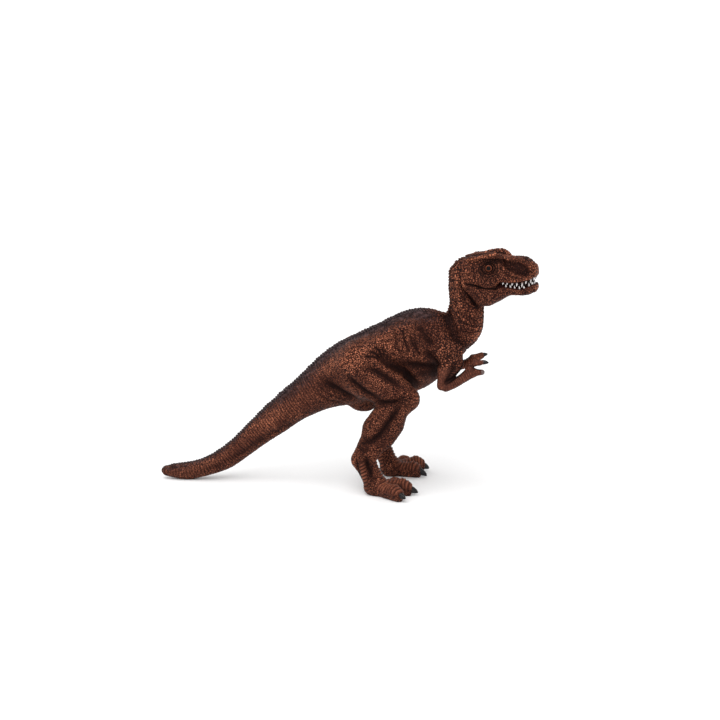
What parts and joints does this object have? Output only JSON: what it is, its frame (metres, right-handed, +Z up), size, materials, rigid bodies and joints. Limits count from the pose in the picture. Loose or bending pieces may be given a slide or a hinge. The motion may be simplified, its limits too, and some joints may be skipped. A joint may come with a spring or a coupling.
{
  "type": "toy dinosaur figure",
  "caption": "Rigid painted toy figure of a young two-legged meat-eating dinosaur, standing on clawed feet and its tail tip, mouth open and small arms raised.",
  "frame": {"origin": "middle of the figure's box, on the plane that the feet and the tail stand on", "axes": "+X forward, from tail to snout; +Y to the figure's left; +Z up"},
  "size_m": [0.1196, 0.045, 0.0767],
  "materials": {
    "hide": "red-brown moulded plastic with a dark wash and copper dry brushing over fine scales; black glossy claws, white teeth, amber eye",
    "jaw": "as the hide, a little lighter, with white teeth and a dark mouth",
    "tail_hide": "as the hide, with dark rings",
    "arm_hide": "as the hide, with more copper and black claws"
  },
  "bodies": {
    "root": {"torso": "hide", "head": "hide", "lower_jaw": "jaw", "tail": "tail_hide", "leg_right": "hide", "leg_left": "hide", "arm_right": "arm_hide", "arm_left": "arm_hide"}
  },
  "joints": []
}
